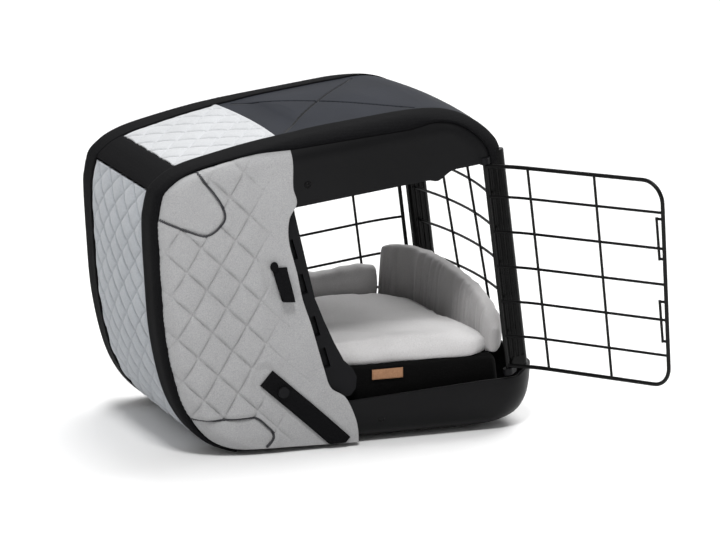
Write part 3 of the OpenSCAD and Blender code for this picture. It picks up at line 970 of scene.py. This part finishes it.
def soft_block(name, plan, z0, z1, mat):
    """Soft-edged block over a plan outline, in row-frame millimetres."""
    centre = (plan.min(0) + plan.max(0)) / 2
    verts, n = [], len(plan)
    heights = [(z0, 5), (z0 + 2, 1), ((z0 + z1) / 2, 0), (z1 - 5, 1.5), (z1 - 1.5, 5), (z1, 11)]
    for z, inset in heights:
        d = plan - centre
        q = centre + d * (1 - inset / np.abs(d).max(0))
        verts += [[x, y, z] for x, y in q]
    faces = ring_faces(len(heights), n)
    faces += [tuple(range(n))[::-1], tuple((len(heights) - 1) * n + j for j in range(n))]
    return mesh_object(name, verts, faces, mat, None, True)


def wrinkle(ob, fn):
    """Moves every vertex along its normal by fn(x, y, z) millimetres."""
    me = ob.data
    me.update()
    co = np.array([v.co[:] for v in me.vertices]) / MM
    no = np.array([v.normal[:] for v in me.vertices])
    co = co + no * fn(co[:, 0], co[:, 1], co[:, 2])[:, None]
    me.vertices.foreach_set("co", (co * MM).reshape(-1))
    me.update()


def cushion_folds(x, y, z):
    """Soft drag folds towards the corners and a shallow dip where a dog lies."""
    top = np.clip((z - 98) / 14, 0, 1)
    bend = 9 * np.sin(x / 47 + 0.8) + 6 * np.sin(y / 33)
    near_front = np.exp(-(((x - 90) / 80) ** 2 + ((y + 70) / 60) ** 2))
    far_rear = np.exp(-(((x + 10) / 90) ** 2 + ((y - 50) / 60) ** 2))
    folds = 2.4 * np.sin((0.55 * x + 0.85 * y + bend) / 11) * near_front
    folds += 1.8 * np.sin((0.8 * x - 0.6 * y + bend) / 9) * far_rear
    folds += 0.7 * np.sin((x + 0.2 * y + bend) / 6) * np.exp(-(((y + 112) / 22) ** 2))
    dip = -4.0 * np.exp(-((x - 20) / 100) ** 2 - ((y + 10) / 80) ** 2)
    return top * (folds + dip + 7 * np.clip((y - 10) / 90, 0, 1))


def base_folds(x, y, z):
    """Slack in the black wall and a seam near its foot."""
    slack = 0.9 * np.sin(x / 31 + 0.6) * np.sin(z / 23) + 0.3 * np.sin(x / 9 + z / 17)
    return slack - 1.0 * np.exp(-((z - 24) / 2.2) ** 2)


def side_folds(x, y, z):
    """Gathers along the side bolster's crest, drawn in at its foot."""
    broad = 1.6 * np.sin(x / 7.5 + 2.2 * np.sin(x / 31)) * np.clip((z - 120) / 30, 0, 1)
    fine = 0.5 * np.sin(x / 3.9 + z / 20) * np.clip((z - 130) / 20, 0, 1)
    return broad + fine - 5 * np.clip((135 - z) / 40, 0, 1)


def make_bed():
    """Bed base, cushion, two bolsters and the label."""
    base = soft_block("bed_base_wall", base_plan(), 13.5, 93, MAT["bed_black"])
    remeshed(base, 4.5)
    wrinkle(base, base_folds)
    base.modifiers.new("soft", "SUBSURF").levels = 1
    soft_piece(base, "bed_base")
    cushion = soft_block("bed_cushion_soft", cushion_plan(), 92, 116, MAT["bed_grey"])
    remeshed(cushion, 5)
    cloth_puff(cushion, 16, 3.0, 7.0)
    wrinkle(cushion, cushion_folds)
    soft_piece(cushion, "bed_cushion")
    side_plan = round_plan((-130, 119), (150, 141), 9, 6)
    side = soft_block("bolster_side_soft", side_plan, 92, 160, MAT["bed_grey"])
    remeshed(side, 4.5)
    cloth_puff(side, 14, 3.0, 4.0)
    wrinkle(side, side_folds)
    soft_piece(side, "bolster_side")
    make_front_bolster()
    make_label()


def soft_piece(ob, node):
    ob.data.update()
    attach(ob, "cabin")
    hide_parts(node)


# Middle line of the front bolster in plan, row-frame millimetres, from the left end to the right post
BOLSTER_PATH = [[150, 131], [168, 112], [184, 84], [194, 46], [200, 0], [206, -50], [210, -100],
                [208, -130]]


def make_front_bolster():
    """Tall curved bolster across the front, falling to the right post, gathered in vertical folds."""
    n, m = 170, 40
    u = np.linspace(0, 1, n)
    path = curve_through(BOLSTER_PATH, n)
    cx, y = path[:, 0], path[:, 1]
    crest = np.interp(y, [-140, -128, -114, -90, -60, -20, 20, 60, 100, 128, 139],
                      [104, 124, 140, 154, 165, 174, 180, 184, 187, 185, 177])
    crest = np.convolve(np.pad(crest, 6, mode="edge"), np.ones(13) / 13, "valid")
    along = np.gradient(path, axis=0)
    along /= np.linalg.norm(along, axis=1, keepdims=True)
    across = np.stack([-along[:, 1], along[:, 0]], -1)
    verts = []
    for i in range(n):
        low, high = 93.0, crest[i]
        mid, half_h = (low + high) / 2, (high - low) / 2
        end = math.sqrt(max(0.0, 1 - abs(2 * u[i] - 1) ** 14))
        thick = 11.5 * (0.25 + 0.75 * end)
        nrm = across[i]
        for k in range(m):
            a = 2 * math.pi * k / m
            ca, sa = math.cos(a), math.sin(a)
            wide = math.copysign(abs(ca) ** 0.7, ca) * thick
            rise = math.copysign(abs(sa) ** 0.62, sa) * half_h * (0.9 + 0.1 * end)
            lean = 0.06 * (mid + rise - 93)
            sway = u[i] * 40 + 0.9 * math.sin(u[i] * 17) + 0.012 * rise * math.sin(u[i] * 9)
            foot = math.exp(-((rise + 8) / 30) ** 2)
            fold = 2.0 * math.sin(sway * 1.1) + 1.5 * math.sin(sway * 2.3 + 1.0) * foot
            fold -= 3.0 * max(0.0, math.sin(sway * 0.7 + 0.6)) ** 8
            w = wide + math.copysign(fold, ca) * 0.8 * end
            verts.append([cx[i] + nrm[0] * w + lean, y[i] + nrm[1] * w, mid + rise])
    faces = ring_faces(n, m)
    faces += [tuple(range(m))[::-1], tuple((n - 1) * m + k for k in range(m))]
    ob = mesh_object("bolster_front_soft", verts, faces, MAT["bolster_grey"], None, True)
    weld_normals(ob)
    ob.modifiers.new("soft", "SUBSURF").levels = 1
    soft_piece(ob, "bolster_front")


# Lower rear and upper front corner of the label, row-frame x and z
LABEL_CORNERS = ((40, 76), (81, 89))


def make_label():
    """Blank leather label with a stitched border."""
    rows, cols = 12, 30
    (x0, z0), (x1, z1) = LABEL_CORNERS
    x = np.linspace(x0, x1, cols)[None, :] * np.ones((rows, 1))
    z = np.linspace(z0, z1, rows)[:, None] * np.ones((1, cols))
    edge = np.minimum(np.minimum(x - x0, x1 - x), np.minimum(z - z0, z1 - z))
    y = -144.6 - 0.5 * np.clip(edge / 1.2, 0, 1) + 0.35 * np.exp(-((edge - 2.0) / 0.5) ** 2)
    ob = slab("bed_label_leather", np.stack([x, y, z], -1), 1.0, MAT["leather"], world=True)
    weld_normals(ob)
    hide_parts("bed_label")


# ---------------------------------------------------------------- straps and tabs


def strap_on_side(name, path, width, s, node, lift, thick):
    """Flat strap that follows the hood's side along a path of cabin x, z points."""
    pts = curve_through(path, 60)
    t = np.gradient(pts, axis=0)
    t /= np.linalg.norm(t, axis=1, keepdims=True)
    side = np.stack([-t[:, 1], t[:, 0]], -1)
    k = np.linspace(-0.5, 0.5, 9)
    g = pts[:, None, :] + side[:, None, :] * (k * width)[None, :, None]
    g[..., 1] = np.maximum(g[..., 1], floor_line(g[..., 0]) + 1.5)
    p = side_point(g[..., 0], g[..., 1], s)
    p[..., 1] += s * (lift + 0.35 * (1 - (2 * k[None, :]) ** 2))
    finish_webbing(slab(name, p, thick, MAT["webbing"]), node)


def make_straps(s):
    """Belt strap and pull tab of one side."""
    side = "left" if s > 0 else "right"
    # Belt strap, from under the snap button down to the hem
    strap_on_side(f"belt_strap_{side}_webbing", [[-116, 92], [-92, 64], [-62, 29], [-28, -12]], 24, s,
                  f"belt_strap_{side}", 2.6, 2.6)
    # Pull tab: a ribbon folded over on itself, standing off the cloth as a loop
    rows, cols = 60, 9
    v = np.linspace(0, 1, rows)[:, None]
    u = np.linspace(-0.5, 0.5, cols)[None, :]
    there = np.clip(v * 2, 0, 1)
    back = np.clip(v * 2 - 1, 0, 1)
    along = there - back
    x = -82 + 5 * along + u * (19 - 4 * along)
    z = 226 - 44 * along - u * 3
    loop = np.sin(np.pi * np.clip(v * 1.02, 0, 1)) ** 1.4
    stand = 1.5 + 7.5 * loop * np.where(v < 0.5, 0.25, 1.0) + 1.2 * (back > 0)
    base = side_point(x, z, s)
    base[..., 1] += s * (stand + 0.5 * np.cos(5 * u))
    ob = slab(f"pull_tab_{side}_webbing", base, 1.4, MAT["webbing"])
    finish_webbing(ob, f"pull_tab_{side}")
    knob = side_point(np.array([-88.5]), np.array([228.5]), s)[0]
    make_knob(f"pull_tab_{side}_knob", knob + np.array([0, s * 3.2, 0]), 5.2, s)


def make_dimple(name, at, r, s, cabin=True):
    """Round recess with a screw head, seen as a dark dished disc with a thin lip."""
    at = np.array(at, float)
    # Radius as a share of r, and height over the surface
    rings = [(1.18, 0.0), (1.12, 0.5), (1.0, 0.55), (0.9, 0.1), (0.82, -0.6), (0.55, -0.7),
             (0.5, -0.2), (0.2, -0.15)]
    sides, verts = 28, []
    for f, out in rings:
        for k in range(sides):
            a = 2 * math.pi * k / sides
            verts.append(at + np.array([r * f * math.cos(a), s * out, r * f * math.sin(a)]))
    faces = ring_faces(len(rings), sides)
    faces.append(tuple((len(rings) - 1) * sides + k for k in range(sides)))
    ob = weld_normals(mesh_object(name, verts, faces, MAT["post"], "cabin", not cabin))
    m = ob.modifiers.new("thick", "SOLIDIFY")
    m.thickness, m.offset = 0.5 * MM, 0


def make_knob(name, at, r, s):
    """Rolled end of the pull tab."""
    verts = []
    rings, sides = 9, 20
    for i in range(rings):
        lat = math.pi * i / (rings - 1)
        for k in range(sides):
            a = 2 * math.pi * k / sides
            d = abs(math.sin(lat)) ** 0.8
            off = [r * d * math.cos(a), s * r * 0.62 * math.cos(lat), r * 1.2 * d * math.sin(a)]
            verts.append(at + np.array(off))
    faces = ring_faces(rings, sides)
    ob = weld_normals(mesh_object(name, verts, faces, MAT["webbing"], "cabin", False))


def make_fasteners(s):
    """Bolt in the roof's skirt and screw in the tray's side."""
    side = "left" if s > 0 else "right"
    at = side_point(np.array([-32.0]), np.array([320.0]), s)[0]
    make_dimple(f"skirt_bolt_{side}", at + np.array([0, s * 0.2, 0]), 3.6, s)
    make_dimple(f"tray_screw_{side}", (46, s * 161.6, 30), 3.4, s, False)


def style_cad():
    """Materials and small bevels for the CAD nodes that stay visible."""
    looks = {"front_post": "post", "rear_pillar": "frame", "front_grille": "wire", "door_": "wire",
             "hinge_lug": "frame", "skid": "rubber", "bumper": "rubber", "hood_frame": "frame",
             "strap_button": "frame"}
    for name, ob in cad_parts.items():
        for key, mat in looks.items():
            if name.startswith(key):
                ob.data.materials.clear()
                ob.data.materials.append(MAT[mat])
                ob.data.polygons.foreach_set("material_index", [0] * len(ob.data.polygons))
    for name in ("rear_pillar_right", "rear_pillar_left"):
        add_bevel(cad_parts[name], 1.6, 3, 40)
    for name in ("skid_right", "skid_centre", "skid_left"):
        add_bevel(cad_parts[name], 1.0, 2, 40)


make_stage()
make_lights()
make_camera()
style_cad()
for side_sign in (-1, 1):
    make_side_cover(side_sign)
    make_band(side_sign)
    make_straps(side_sign)
    make_fasteners(side_sign)
make_rear_cover()
make_top_cover()
make_cross_band()
make_roof_shell()
make_roof_panel()
make_tray()
make_bed()
